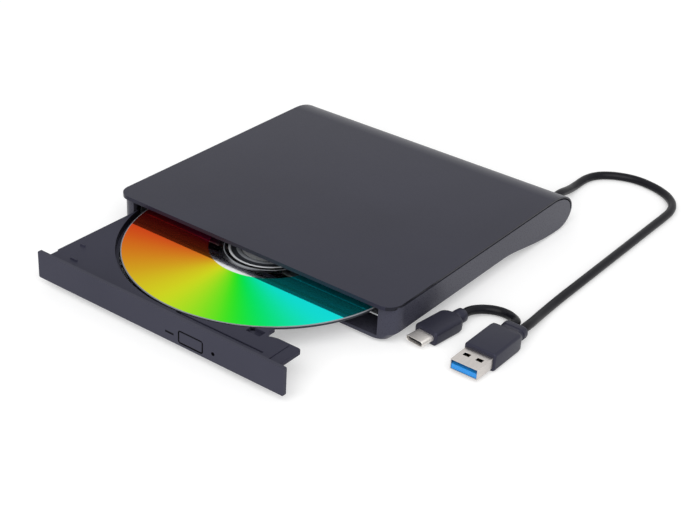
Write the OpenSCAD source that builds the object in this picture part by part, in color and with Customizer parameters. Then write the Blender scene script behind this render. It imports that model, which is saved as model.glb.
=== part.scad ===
/* [Disc] */
// Radius of the disc, which sets the width and depth of the drive and its case
disc_r = 60; // [54:0.5:66]
// Thickness of the disc
disc_t = 1.2; // [1:0.1:1.4]
// Radius of the disc's centre hole
disc_hole_r = 7.5; // [7:0.1:8]
// Clearance round the disc in its recess
recess_gap = 1.9; // [0.8:0.1:2.2]

/* [Case] */
// Room between the drive's housing and the case's outside on each side
side_room = 7.5; // [7:0.25:12]
// Room between the drive's housing and the rearmost line of the case
rear_room = 6.8; // [6.4:0.2:10]
// Room between the drive's lid and the cover
cover_room = 1.7; // [1:0.1:4]
// Thickness of the case's moulded walls
case_wall = 2; // [1.6:0.1:3]
// Radius of the case's upright front and rear corners, seen from above
case_corner = 6.5; // [3:0.5:10]
// Thickness of the top cover
cover_t = 0.8; // [0.6:0.1:2]
// Height of the dark seam groove under the cover's edge
seam_h = 0.6; // [0.2:0.1:0.8]
// How far the cover stands out in front of the case's face
visor = 2; // [1:0.25:4]
// Height of the visor's front edge, with the rim under it
visor_t = 1.7; // [1:0.1:2]
// Height of the side wall's crisp lower edge above the table
belt_z = 6; // [4:0.25:7]
// Height of the flat underside above the table
under_z = 1.5; // [1:0.1:2]
// Thickness of the bottom plate
plate_t = 1.5; // [1.2:0.1:2]
// Lowest height of the rear bulge above the table
bulge_z = 0.9; // [0.5:0.1:1.2]
// Length of the rear bulge's run-in
bulge_run = 46; // [30:1:60]
// Radius of a rubber foot
foot_r = 5; // [3:0.5:7]

/* [Front] */
// How far the tray is drawn out as it stands
tray_out = 54; // [20:1:80]
// How far the closed bezel lies behind the visor's edge
bezel_setback = 1.3; // [0.5:0.1:3]
// Gap between the bezel and the opening on each side
bezel_gap = 1.2; // [0.5:0.1:1.4]
// Thickness of the bezel
bezel_t = 1.6; // [1.4:0.1:3]
// Height of the bezel
bezel_h = 11.8; // [11:0.1:12.2]
// Width of the eject button
button_w = 11.4; // [8:0.2:14]
// Height of the eject button
button_h = 4.7; // [3:0.1:6]
// Clearance round the eject button
button_gap = 0.5; // [0.2:0.05:0.6]
// Radius of the emergency pinhole
pinhole_r = 0.8; // [0.4:0.1:1]

/* [Drive] */
// Room between the disc's edge and the housing's outside on each side
disc_side = 4; // [3.8:0.1:4.5]
// Thickness of the housing's sheet metal
sheet_t = 0.6; // [0.4:0.1:0.8]
// Height of the housing
drive_h = 12.5; // [12.3:0.1:12.7]
// Height of the shallow side ledge above the housing's floor
ledge_h = 6; // [5:0.1:6.4]
// Width of a slide rail
rail_w = 2.4; // [2:0.1:3]
// Height of a slide rail
rail_h = 2.2; // [1.6:0.1:2.4]
// Running clearance of the slide rails
rail_gap = 0.3; // [0.2:0.05:0.4]
// Thickness of a rail channel's walls
channel_t = 0.8; // [0.6:0.1:1]

/* [Tray] */
// Distance from the bezel's front to the disc's front edge
disc_lead = 7.6; // [6.5:0.1:9]
// How much narrower the tray's deck is than the disc
tray_cut = 18.5; // [17:0.5:22]
// Thickness of the tray's floor
tray_t = 1.2; // [0.8:0.1:1.6]
// Depth of the wing behind the bezel
wing_d = 15; // [10:0.5:18]

/* [Mechanism] */
// Direction of the pickup's travel from the spindle
sled_turn = -125; // [-130:1:-120]
// Radius of the sled's guide rods
rod_r = 1; // [0.8:0.1:1.2]
// Radius of the lead screw
screw_r = 0.9; // [0.7:0.1:1]
// Running clearance of rods and shafts
shaft_gap = 0.05; // [0.02:0.01:0.09]
// Radius of the spindle's shaft
spindle_r = 1; // [0.8:0.1:1.4]
// Radius of the turntable's rubber seat
turntable_r = 14; // [11:0.5:15]
// Radius of the objective lens
lens_r = 2; // [1.5:0.1:2.4]

/* [Lead] */
// Diameter of both cords
cord_d = 3.8; // [3:0.1:4]
// Distance of the cord's outlet from the case's right side
outlet_in = 13.5; // [12:0.5:22]
// Height of the cord's outlet above the table
outlet_z = 5; // [4.6:0.1:5.2]
// Length of the strain relief behind the case
relief_l = 9; // [6:0.5:14]

/* [Hidden] */
$fn = 64;
front_room = 4.6;
opening_lip = 0.3;
drive_w = 2 * (disc_r + disc_side);
drive_d = 2 * disc_r + 4.6;
case_w = drive_w + 2 * side_room;
case_d = visor + front_room + drive_d + rear_room;
opening_w = drive_w - 2 * opening_lip;
ledge_d = drive_d - 16.6;
rail_l = drive_d - 12.6;
tray_w = 2 * disc_r - tray_cut;
tray_l = drive_d - 0.3;
all_l = case_d + tray_out - bezel_setback;
rear_y = all_l / 2;
visor_y = rear_y - case_d;
face_y = visor_y + visor;
bezel_y = -all_l / 2;
half_w = case_w / 2;
drive_z = under_z + plate_t;
drive_top = drive_z + drive_h;
case_h = drive_top + cover_room + cover_t;
seam_z = case_h - cover_t - seam_h;
eps = 0.01;

// Rear curves of the case, as quarter ellipses that meet at the rearmost line
rear_mid_z = 8;
top_curve_y = 18;
low_curve_y = 10;
arc_steps = 14;
bulge_end_y = rear_y - low_curve_y;
bulge_start_y = bulge_end_y - bulge_run;
bulge_bias = 0.8;
chamfer = belt_z - under_z;
low_round = 4;
in_chamfer = chamfer - 0.6 * case_wall;

// Places inside, from the bottom plate upwards
drive_y = face_y + front_room;
drive_rear = drive_y + drive_d;
inner_end_y = drive_rear + 0.5;
half_drive = drive_w / 2;
pan_z = drive_z + sheet_t;
lid_t = 0.5;
lid_z = drive_top - lid_t;
rear_drop = 1.8;
rear_slope = 6.6;
ledge_z = drive_z + ledge_h;
front_tab = [2.6, 5];
ledge_y = drive_y + ledge_d;

// Tray and disc heights
disc_y = bezel_y + disc_lead + disc_r;
disc_z = 10.8;
tray_top = disc_z + disc_t + 0.8;
recess_z = disc_z - 1;
recess_r = disc_r + recess_gap;
floor_z = recess_z - tray_t;
skirt_z = 5.6;
skirt_t = 3;
guard_t = 0.4;
tray_y = bezel_y + bezel_t;
tray_rear = tray_y + tray_l;
front_wall = 1.8;
rail_into = 0.6;
tray_x = -half_drive + sheet_t + channel_t + rail_gap + rail_w - rail_into;
tray_right = tray_x + tray_w;
wing_w = disc_r - 2.6 - tray_right;
wing_t = 3.4;
// Outer corner of the wing, and the notch where it leaves the tray's edge
wing_corner = [[0, -1.2], [-0.4, -0.4], [-1.2, 0]];
wing_notch = [[5, 0], [2.6, -0.7], [1.6, -1.4], [0, 1.6]];
rim_t = 1.8;
rim_in = 6;
rim_y = disc_y - 26;
wing_line_x = tray_right + wing_w - 5.2;
lip_slot_x = [tray_right - 35, tray_right + 7];
lip_slot_y = tray_y + 3.8;
hollow_x = [tray_right - 7.2, tray_right - 0.6];
hollow_y = tray_y + 11.4;
edge_gap_y = [0.6, 7];
edge_gap_w = 0.7;
stop_tabs = [[8.9, 5.2, 3.6], [4, 15.4, 2.4]];
stop_tab_h = 0.6;
stop_tab_t = 0.7;
hollow_h = 1.6;
mark_h = 0.8;
step_x = tray_right + channel_t + rail_gap + rail_w - rail_into;
rail_z = 6.4;
groove_top = rail_z + rail_h + rail_gap;
groove_in = 4;
rail_closed_y = drive_y + 6;
rail_y = rail_closed_y - tray_out / 2;
flange_t = 0.7;
channel_in = [2, 3];

// Bezel
bezel_w = opening_w - 2 * bezel_gap;
bezel_z = 3.2;
bezel_round = 0.6;
button_round = 0.6;
led_sunk = 0.3;
button_x = step_x - 25.6;
button_z = 7.1;
led_x = button_x - 10.5;
led_z = 6.9;
led_w = 4.2;
led_h = 0.9;
pinhole_off = 11;
pinhole_x = button_x + pinhole_off;
pinhole_z = 6.7;
switch_gap = 0.6;
switch_w = 5;
switch_d = 3.4;
plunger = 0.6;
tray_board_in = 11.8;
tray_board_d = 7;
press_gap = 0.65;
button_l = bezel_t + front_wall + switch_gap - press_gap;
stem_half = 2;
stem_z = [button_z - 0.4, button_z + 1.2];

// Mechanism, laid out along the pickup's travel from the spindle
deck_z = 7.2;
deck_t = 0.8;
deck_back = 18;
damper_r = 1.3;
damper_in = 4;
damper_far = 12.4;
deck_front = disc_r + 2.4;
deck_trim = disc_r + 4;
window_half = 16;
deck_half = window_half + 4;
window_back = 14;
window_front = disc_r + 0.4;
rod_y = window_half - 4.5;
rod_z = deck_z + deck_t / 2;
screw_y = window_half - 1.4;
sled_rest = disc_r / 2;
sled_back = 8;
nose_l = 4;
nose_half = 5;
lens_fore = 1.2;
lens_pit = 1.4;
lens_gap = 0.3;
sled_half = window_half - 3;
sled_top = 9.4;
sled_base = 6;
motor_r = 10.5;
bush_r = 3;
motor_z = skirt_z + 0.2;
feed_r = 1.9;
feed_l = 10;
rotor_r = 10;
rotor_z = 8.4;
shaft_foot = 0.5;
seat_t = 0.8;
hub_lift = 0.3;
hub_r = disc_hole_r - 0.1;
claw_count = 3;
claw_w = 2.4;
claw_t = 0.4;
claw_out = 0.7;
claw_hole_r = 3.4;

// Fasteners
screw_head_r = 1.9;
screw_head_h = 1.2;
screw_hole_r = 1.2;
screw_shank_r = 0.95;
boss_r = 2.2;
boss_x = half_drive + 2.6;
boss_ys = [drive_y + 6, drive_rear - 22.6];
boss_z = 8;
boss_bore = 5;
lip_t = 1.2;
// Gap between the visor's rim and the case's face, and how far the rim stops short of the sides
brow_gap = 0.2;
brow_in = 1;
boss_head_z = 3.3;
head_gap = 0.2;
screw_bite = 4;
// How far the pan's screws lie from its left side, its step, its front and its rear
pan_screw_side = 14;
pan_screw_step = 13.9;
pan_screw_fore = 16;
pan_screw_aft = 13.6;
pan_screw_x = [-half_drive + pan_screw_side, step_x - pan_screw_step];
pan_screw_y = [drive_y + pan_screw_fore, drive_rear - pan_screw_aft];
pan_screws = [[pan_screw_x[0], pan_screw_y[0]], [pan_screw_x[1], pan_screw_y[0]],
    [pan_screw_x[0], pan_screw_y[1]]];
pan_head_z = under_z + 0.1;
pan_head_h = 0.7;

// Boards
board_t = 0.8;
// How far the drive's board stays from the left side, the step and the rear wall, and its reach
main_board_side = 14;
main_board_step = 5;
main_board_gap = 2;
main_board_d = 58.6;
main_board_x = [-half_drive + main_board_side, step_x - main_board_step];
main_board_y = [drive_rear - main_board_d, drive_rear - sheet_t - main_board_gap];
tongue_d = 14;
tongue_in = 1;
tongue_y = [ledge_y - tongue_d, ledge_y - tongue_in];
tongue_gap = 0.5;
tongue_room = 2;
bridge_x = [step_x + 3, half_drive];
bridge_y = [ledge_y + 3, drive_rear + 2.4];
bridge_z = 5;
bridge_post_in = 3;
bridge_post_r = 1.5;
socket_d = 6;
socket_h = 3.2;
plug_d = 6;
plug_in = 3;
chip_t = 0.5;
// Places and widths of the chips on the drive's board
chips = [[-36, 20, 11], [-12, 28, 9], [12, 18, 7], [-30, 40, 7]];
bridge_chip = [5, 5, 0.9];
bridge_chip_x = [-5, 4];
bridge_chip_y = 7;

// Tray lock
lever_x = step_x - 8.9;
lever_y = tray_y + front_wall + 5;
lever_l = 7;
lever_w = 1.6;
lever_t = 1.2;
lever_hub_r = 1.6;
hook_l = 2.6;
hook_w = 1.2;
coil_x = [-10, -3.6];
coil_l = 6;
post_x = step_x - 11.3;
post_y = lever_y + tray_out + lever_l - 2.9;
post_r = 1;
post_h = 3.8;
post_gap = 0.6;
slot_x = [post_x - post_r - post_gap, post_x + post_r + post_gap];

// Feet
foot_x = half_w - 17.5;
front_foot_y = face_y + 12;
rear_foot_y = bulge_end_y;

// Plugs on the lead
a_x = half_w + 30.7;
a_front = -39;
a_shell = [12, 10.7, 4.5];
a_shell_z = 1.6;
a_shell_t = 0.35;
a_body = [13.8, 20.3, 7.8];
a_collar = [11, 6.5, 5.4];
a_collar_z = 1;
a_window = [2.7, 2.1];
a_window_x = 2.8;
a_window_y = 5.2;
a_tongue = 1.9;
a_tongue_in = 0.6;
a_pins = [-3.5, -1, 1, 3.5];
a_pin = [1, 5.6, 0.15];
a_pin_y = 3.6;
a_body_round = 1.2;
a_collar_round = 1.8;
c_place = [half_w + 5.3, -34.4];
c_turn = -7;
c_shell_l = 6.6;
c_shell_w = 8.3;
c_shell_h = 2.5;
c_shell_t = 0.3;
c_z = 3.1;
c_body = [11, 17, 6.2];
c_body_round = 2.2;
c_tongue = [6.6, 0.7];
c_neck_r = 3;
c_neck_l = 5.4;

// Routes of the two cords, along their middle lines
relief_end = rear_y + relief_l;
relief_in = 3;
relief_r = cord_d / 2 + 0.9;
a_collar_end = a_front + a_shell[1] + a_body[1] + a_collar[1];
c_axis = [-sin(c_turn), cos(c_turn), 0];
c_end = [c_place[0], c_place[1], c_z] + (c_shell_l + c_body[1] + c_neck_l) * c_axis;
straight = 3.5;
outlet_x = half_w - outlet_in;
lead_x = half_w + 30.9;
lead_end = [lead_x + 2, a_collar_end, 3.8];
tail_end = [lead_x - 2.6, a_collar_end, 3.8];
cord_sides = 8;
cord_lie = cord_d / 2 + 0.05;
run_y = [relief_end + 22.15, 34];
run_steps = 9;
leave = [[-0.1, 7.65, 4.5], [-0.4, 12.65, 3.4], [-0.9, 17.65, 2.4], [-1.2, 23.15, cord_lie],
    [-1.2, 28.15, cord_lie], [-0.8, 32.65, cord_lie], [1, 37.65, cord_lie], [5, 42.25, cord_lie],
    [11, 45.65, cord_lie], [18, 47.25, cord_lie]];
turn = [[-18.9, 46.45], [-12.4, 44.25], [-6.6, 40.45], [-2.4, 35.05], [-0.4, 28.65]];
lead_route = concat(
    [[outlet_x, relief_end, outlet_z], [outlet_x, relief_end + straight, outlet_z]],
    [for (p = leave) [outlet_x + p[0], relief_end + p[1], p[2]]],
    [for (p = turn) [lead_x + p[0], relief_end + p[1], cord_lie]],
    [for (i = [0:run_steps]) [lead_x, run_y[0] + (run_y[1] - run_y[0]) * i / run_steps, cord_lie]],
    [[lead_x + 0.2, 24, 2], [lead_x + 0.9, 14, 2.6], [lead_x + 1.8, 6, 3.5]],
    [lead_end + [0, straight, 0], lead_end]);
tail_bend = [[10.9, 1.6, 2.8], [13.5, 4.8, 2.4], [17, 6.9, 2.2], [20.8, 7.4, 2.2], [24.3, 6.2, 2.5],
    [27, 4, 3.2]];
tail_route = concat([c_end, c_end + straight * c_axis],
    [for (p = tail_bend) [half_w + p[0], p[1], p[2]]],
    [tail_end + [0, straight, 0], tail_end]);

// A box from its lowest to its highest corner
module box(low, high) {
    translate(low) cube(high - low);
}

// An outline in Y and Z, drawn out along X about the middle
module along_x(width) {
    translate([-width / 2, 0, 0]) rotate([90, 0, 90]) linear_extrude(width) children();
}

// An outline in X and Z, drawn out along Y
module along_y(from, to) {
    translate([0, to, 0]) rotate([90, 0, 0]) linear_extrude(to - from) children();
}

// A rectangle with round corners
module round_rect(low, high, r) {
    translate([low[0] + r, low[1]]) square([high[0] - low[0] - 2 * r, high[1] - low[1]]);
    translate([low[0], low[1] + r]) square([high[0] - low[0], high[1] - low[1] - 2 * r]);
    for (x = [low[0] + r, high[0] - r]) for (y = [low[1] + r, high[1] - r])
        translate([x, y]) circle(r);
}

// Points of a quarter ellipse about the case's rearmost line
function arc(y, z, a, b, from, to) = [for (i = [0:arc_steps])
    let (w = from + (to - from) * i / arc_steps) [y + a * cos(w), z + b * sin(w)]];

// The top-rear curve, drawn in by a distance
function top_curve(inset, from, to) = arc(rear_y - top_curve_y, rear_mid_z, top_curve_y - inset,
    case_h - rear_mid_z - inset, from, to);

// The underside of the rear bulge, an eased run from the belt down to its lowest line
function bulge_curve() = [for (i = [0:arc_steps]) let (t = i / arc_steps)
    [bulge_start_y + bulge_run * t,
        belt_z - (belt_z - bulge_z) * (1 - cos(180 * pow(t, bulge_bias))) / 2]];

function low_curve() = arc(bulge_end_y, rear_mid_z, low_curve_y, rear_mid_z - bulge_z, -90, 0);

module plan(front) {
    translate([0, 0, -eps]) linear_extrude(case_h + 2 * eps)
        round_rect([-half_w, front], [half_w, rear_y + case_corner], case_corner);
}

// Case

module top_cover() {
    inner = case_h - cover_t;
    color("#46464f") {
        intersection() {
            along_x(case_w) polygon(concat([[visor_y, inner], [visor_y, case_h]],
                top_curve(0, 90, 0), top_curve(cover_t, 0, 90)));
            plan(visor_y);
        }
        difference() {
            intersection() {
                box([brow_in - half_w, visor_y, case_h - visor_t],
                    [half_w - brow_in, face_y + case_corner, inner + cover_t / 2]);
                plan(visor_y);
            }
            plan(face_y - brow_gap);
        }
        box([-opening_w / 2, face_y - 2 * brow_gap, drive_top],
            [opening_w / 2, face_y + lip_t, inner + cover_t / 2]);
        for (x = [-boss_x, boss_x]) for (y = boss_ys) difference() {
            translate([x, y, boss_z]) cylinder(r = boss_r, h = inner + cover_t / 2 - boss_z);
            translate([x, y, boss_z - eps]) cylinder(r = screw_shank_r, h = boss_bore);
        }
    }
}

// What is rounded off where the sloping underside meets the front face
module low_corner() {
    translate([half_w - chamfer, face_y, under_z]) rotate([0, 45, 0])
        translate([0, 0, -2 * chamfer]) linear_extrude(4 * chamfer) difference() {
            translate([-low_round, -1]) square(low_round + 1);
            translate([-low_round, low_round]) circle(low_round);
        }
}

module case_outside() {
    difference() {
        intersection() {
            union() {
                along_x(case_w) polygon(concat([[face_y, belt_z]], bulge_curve(), low_curve(),
                    top_curve(cover_t + seam_h, 0, 90), [[face_y, seam_z]]));
                along_y(face_y, bulge_end_y) polygon([[-half_w, belt_z], [-half_w + chamfer, under_z],
                    [half_w - chamfer, under_z], [half_w, belt_z]]);
            }
            plan(face_y);
        }
        low_corner();
        mirror([1, 0, 0]) low_corner();
    }
}

module case_inside() {
    in_x = half_w - case_wall;
    in_rear = rear_y - case_wall - cover_t;
    intersection() {
        along_y(face_y + case_wall, rear_y) polygon([[-in_x, case_h], [-in_x, drive_z + in_chamfer],
            [-in_x + in_chamfer, drive_z], [in_x - in_chamfer, drive_z],
            [in_x, drive_z + in_chamfer], [in_x, case_h]]);
        translate([0, 0, -eps]) linear_extrude(case_h + 2 * eps)
            round_rect([-in_x, face_y + case_wall], [in_x, rear_y + case_corner], case_corner - case_wall);
        along_x(case_w) polygon(concat([[face_y, drive_z]],
            arc(inner_end_y, rear_mid_z, in_rear - inner_end_y, rear_mid_z - drive_z, -90, 0),
            [[in_rear, case_h], [face_y, case_h]]));
    }
}

module bottom_case() {
    color("#4a4a52") difference() {
        union() {
            difference() {
                case_outside();
                case_inside();
                box([-opening_w / 2, face_y - 1, drive_z], [opening_w / 2, face_y + case_wall + 1, case_h]);
            }
            for (x = [-boss_x, boss_x]) for (y = boss_ys)
                translate([x, y, drive_z]) cylinder(r = boss_r, h = boss_z - drive_z);
            for (x = bridge_x)
                translate([x - sign(x - outlet_x) * bridge_post_in, bridge_y[1] - bridge_post_in, drive_z])
                    cylinder(r = bridge_post_r, h = bridge_z - drive_z);
        }
        for (x = [-boss_x, boss_x]) for (y = boss_ys) {
            translate([x, y, 0]) cylinder(r = screw_head_r + head_gap, h = boss_head_z + screw_head_h);
            translate([x, y, 0]) cylinder(r = screw_hole_r, h = boss_z + eps);
        }
        for (p = pan_screws) {
            translate([p[0], p[1], 0]) cylinder(r = screw_head_r + head_gap, h = pan_head_z + pan_head_h);
            translate([p[0], p[1], 0]) cylinder(r = screw_hole_r, h = drive_z + eps);
        }
        translate([outlet_x, rear_y - relief_in - 1, outlet_z]) rotate([-90, 0, 0])
            cylinder(r = relief_r, h = relief_l);
    }
}

module front_feet() {
    color("#1b1b1d") for (x = [-foot_x, foot_x])
        translate([x, front_foot_y, 0]) cylinder(r = foot_r, h = under_z);
}

module rear_feet() {
    color("#1b1b1d") for (x = [-foot_x, foot_x])
        translate([x, rear_foot_y - foot_r, 0]) cylinder(r = foot_r, h = bulge_z);
}

module case_screws() {
    color("#55565a") for (x = [-boss_x, boss_x]) for (y = boss_ys) translate([x, y, boss_head_z]) {
        cylinder(r = screw_head_r, h = screw_head_h);
        cylinder(r = screw_shank_r, h = boss_z + screw_bite - boss_head_z);
    }
}

module chassis_screws() {
    color("#8d8f94") for (p = pan_screws) translate([p[0], p[1], pan_head_z]) {
        cylinder(r = screw_head_r, h = pan_head_h);
        cylinder(r = screw_shank_r, h = pan_z - pan_head_z);
    }
}

// Drive housing

module drive_base_pan() {
    color("#b9bbbd") difference() {
        union() {
            box([-half_drive, drive_y, drive_z], [step_x + sheet_t, drive_rear, pan_z]);
            along_y_wall();
            box([step_x, drive_y, drive_z], [step_x + sheet_t, drive_rear, ledge_z]);
            box([step_x, drive_y, ledge_z - sheet_t], [half_drive, ledge_y, ledge_z]);
            box([half_drive - sheet_t, drive_y, ledge_z - sheet_t], [half_drive, ledge_y, lid_z]);
            box([half_drive - sheet_t - front_tab[0], drive_y, ledge_z - sheet_t],
                [half_drive, drive_y + sheet_t, ledge_z + front_tab[1]]);
            box([-half_drive, drive_rear - sheet_t, drive_z],
                [step_x + sheet_t, drive_rear, lid_z - rear_drop - lid_t]);
        }
        for (p = pan_screws) translate([p[0], p[1], 0]) cylinder(r = screw_shank_r, h = pan_z + 1);
        box([step_x - 1, tongue_y[0] - tongue_gap, pan_z],
            [step_x + 2, tongue_y[1] + tongue_gap, pan_z + tongue_room]);
    }
}

// The housing's left side wall, which drops with the lid at the rear
module along_y_wall() {
    translate([-half_drive, 0, 0]) rotate([90, 0, 90]) linear_extrude(sheet_t)
        polygon([[drive_y, drive_z], [drive_rear, drive_z], [drive_rear, lid_z - rear_drop - lid_t],
            [drive_rear - sheet_t, lid_z - rear_drop - lid_t],
            [drive_rear - rear_slope, lid_z - lid_t], [drive_rear - rear_slope - 1, lid_z],
            [drive_y, lid_z]]);
}

module drive_top_plate() {
    color("#c3c5c7") intersection() {
        along_x(drive_w) polygon([[drive_y, lid_z], [drive_rear - rear_slope, lid_z],
            [drive_rear, lid_z - rear_drop], [drive_rear, lid_z - rear_drop + lid_t],
            [drive_rear - rear_slope, drive_top], [drive_y, drive_top]]);
        union() {
            box([-half_drive, drive_y, 0], [half_drive, ledge_y, case_h]);
            box([-half_drive, drive_y, 0], [step_x + sheet_t, drive_rear, case_h]);
        }
    }
}

// A C-shaped guide: its back stands on the wall, and its flanges reach over and under the rail
module rail_channel(wall_x, side) {
    z0 = rail_z - rail_gap - flange_t;
    z1 = rail_z + rail_h + rail_gap + flange_t;
    flange = channel_t + rail_gap + rail_w / 2;
    from = drive_y + channel_in[0];
    to = drive_rear - sheet_t - channel_in[1];
    difference() {
        box([min(wall_x, wall_x + side * flange), from, z0], [max(wall_x, wall_x + side * flange), to, z1]);
        box([min(wall_x + side * channel_t, wall_x + side * 2 * flange), from - 1, z0 + flange_t],
            [max(wall_x + side * channel_t, wall_x + side * 2 * flange), to + 1, z1 - flange_t]);
    }
}

module left_rail_channel() {
    color("#2c2c30") rail_channel(-half_drive + sheet_t, 1);
}

module right_rail_channel() {
    color("#2c2c30") difference() {
        rail_channel(step_x, -1);
        box([0, tongue_y[0] - tongue_gap, 0], [step_x + 1, tongue_y[1] + tongue_gap, pan_z + tongue_room]);
    }
}

module left_slide_rail() {
    x = tray_x + rail_into - rail_w;
    color("#a8abae") box([x, rail_y, rail_z], [x + rail_w, rail_y + rail_l, rail_z + rail_h]);
}

module right_slide_rail() {
    x = tray_right - rail_into;
    color("#a8abae") box([x, rail_y, rail_z], [x + rail_w, rail_y + rail_l, rail_z + rail_h]);
}

module main_board() {
    color("#1f5a36") {
        box([main_board_x[0], main_board_y[0], pan_z], [main_board_x[1], main_board_y[1], pan_z + board_t]);
        box([main_board_x[1] - 1, tongue_y[0], pan_z], [half_drive - plug_in, tongue_y[1], pan_z + board_t]);
    }
}

module main_chips() {
    color("#202024") for (c = chips)
        translate([c[0], main_board_y[0] + c[1], pan_z + board_t])
            linear_extrude(chip_t) square(c[2], center = true);
}

module drive_connector() {
    color("#17171a") box([bridge_x[0] + 1, ledge_y - plug_d, pan_z + board_t],
        [half_drive - plug_in, ledge_y, ledge_z - sheet_t]);
}

module bridge_board() {
    color("#1f5a36") box([bridge_x[0], bridge_y[0], bridge_z],
        [bridge_x[1], bridge_y[1], bridge_z + board_t]);
}

module bridge_chips() {
    z = bridge_z + board_t;
    middle = (bridge_x[0] + bridge_x[1]) / 2;
    color("#202024") for (x = bridge_chip_x)
        translate([middle + x - bridge_chip[0] / 2, bridge_y[0] + bridge_chip_y, z]) cube(bridge_chip);
}

module bridge_socket() {
    color("#17171a") box([bridge_x[0] + 1, ledge_y, bridge_z + board_t],
        [half_drive - plug_in, ledge_y + socket_d, bridge_z + board_t + socket_h - 1]);
}

module latch_post() {
    color("#a8abae") translate([post_x, post_y, pan_z]) cylinder(r = post_r, h = post_h);
}

// Tray

module tray_outline() {
    wing_x = tray_right + wing_w;
    wing_y = tray_y + wing_d;
    polygon(concat([[tray_x, tray_y], [wing_x, tray_y]],
        [for (p = wing_corner) [wing_x, wing_y] + p],
        [for (p = wing_notch) [tray_right, wing_y] + p],
        [[tray_right, tray_rear], [tray_x, tray_rear]]));
}

module at_spindle() {
    translate([0, disc_y, 0]) rotate([0, 0, sled_turn]) children();
}

module tray() {
    groove_z = [rail_z - rail_gap, groove_top];
    groove = rail_into + rail_gap + 0.1;
    color("#42424b") difference() {
        union() {
            translate([0, 0, skirt_z]) linear_extrude(tray_top - skirt_z) tray_outline();
            for (t = stop_tabs) translate([tray_x + t[0], tray_y + t[1], tray_top - mark_h])
                cube([t[2], stop_tab_t, mark_h + stop_tab_h]);
        }
        translate([0, disc_y, recess_z]) cylinder(r = recess_r, h = tray_top, $fn = 96);
        box([tray_x + skirt_t, tray_y + front_wall, 0], [tray_right - skirt_t, tray_rear - skirt_t, floor_z]);
        box([tray_right, tray_y + front_wall, 0], [half_w, tray_rear, tray_top - wing_t]);
        box([tray_right - rim_in, tray_y + front_wall, 0], [half_w, rim_y, tray_top - rim_t]);
        intersection() {
            at_spindle() box([2 - deck_back, -window_half - 1, 0],
                [deck_front + 2, window_half + 1, tray_top]);
            translate([0, disc_y, 0]) cylinder(r = window_front, h = tray_top);
        }
        box([tray_x - 1, tray_y + front_wall + groove_in, groove_z[0]],
            [tray_x + groove, tray_rear + 1, groove_z[1]]);
        box([tray_right - groove, tray_y + front_wall + groove_in, groove_z[0]],
            [tray_right + 1, tray_rear + 1, groove_z[1]]);
        button_room();
        tray_marks();
        box([slot_x[0], tray_rear - skirt_t - 1, 0], [slot_x[1], tray_rear + 1, pan_z + post_h + post_gap]);
    }
}

// The room behind the bezel for the button's stem, the light and the emergency pin
module button_room() {
    box([led_x - led_w / 2 - 1, tray_y - 1, 0], [pinhole_x + 2, tray_y + front_wall + 1, floor_z]);
    box([button_x - button_w / 2 - 1, tray_y - 1, 0],
        [button_x + button_w / 2 + 1, tray_y + front_wall + 1, button_z + button_h / 2 + 1]);
}

// What is sunk in the tray's top: the slot behind the bezel, the wing's line, the finger hollow and
// the small gaps beside the left edge
module tray_marks() {
    top = tray_top + 1;
    box([lip_slot_x[0], lip_slot_y, tray_top - mark_h], [lip_slot_x[1], lip_slot_y + mark_h, top]);
    box([wing_line_x, tray_y + 2.2, tray_top - mark_h / 2],
        [wing_line_x + mark_h / 2, tray_y + wing_d - mark_h, top]);
    box([hollow_x[0], hollow_y, tray_top - hollow_h], [hollow_x[1], tray_y + wing_d, top]);
    box([tray_x - 1, tray_y + edge_gap_y[0], groove_top], [tray_x + edge_gap_w, tray_y + edge_gap_y[1], top]);
}

module tray_guard() {
    color("#b4b6b9") box([tray_x + 1, tray_y + front_wall, skirt_z - guard_t],
        [slot_x[0], tray_rear - 1, skirt_z]);
}

module front_bezel() {
    color("#42424b") difference() {
        along_y(bezel_y, tray_y) round_rect([-bezel_w / 2, bezel_z], [bezel_w / 2, bezel_z + bezel_h],
            bezel_round);
        along_y(bezel_y - 1, tray_y + 1) round_rect(
            [button_x - button_w / 2 - button_gap, button_z - button_h / 2 - button_gap],
            [button_x + button_w / 2 + button_gap, button_z + button_h / 2 + button_gap],
            button_round + button_gap);
        box([led_x - led_w / 2, bezel_y - 1, led_z - led_h / 2],
            [led_x + led_w / 2, tray_y + 1, led_z + led_h / 2]);
        translate([pinhole_x, bezel_y - 1, pinhole_z]) rotate([-90, 0, 0])
            cylinder(r = pinhole_r, h = bezel_t + 2);
    }
}

module led_lens() {
    color("#5c5c64") box([led_x - led_w / 2, bezel_y + led_sunk, led_z - led_h / 2],
        [led_x + led_w / 2, tray_y, led_z + led_h / 2]);
}

module eject_button() {
    color("#42424b") {
        along_y(bezel_y, tray_y) round_rect([button_x - button_w / 2, button_z - button_h / 2],
            [button_x + button_w / 2, button_z + button_h / 2], button_round);
        box([button_x - stem_half, bezel_y + 1, stem_z[0]],
            [button_x + stem_half, bezel_y + button_l, stem_z[1]]);
    }
}

module tray_board() {
    y0 = tray_y + front_wall;
    color("#1f5a36") box([led_x - tray_board_in, y0, skirt_z],
        [tray_right - rim_in + 2, y0 + tray_board_d, skirt_z + board_t]);
}

module eject_switch() {
    y0 = tray_y + front_wall + switch_gap;
    color("#d8d8d4") {
        box([button_x - switch_w / 2, y0 + plunger, skirt_z + board_t],
            [button_x + switch_w / 2, y0 + switch_d, floor_z - 0.2]);
        translate([button_x, y0, button_z]) rotate([-90, 0, 0]) cylinder(r = plunger, h = plunger);
    }
}

module latch_solenoid() {
    y0 = tray_y + front_wall + 1;
    color("#6f5a3a") box([lever_x + coil_x[0], y0, skirt_z + board_t],
        [lever_x + coil_x[1], y0 + coil_l, floor_z - 0.1]);
}

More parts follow.
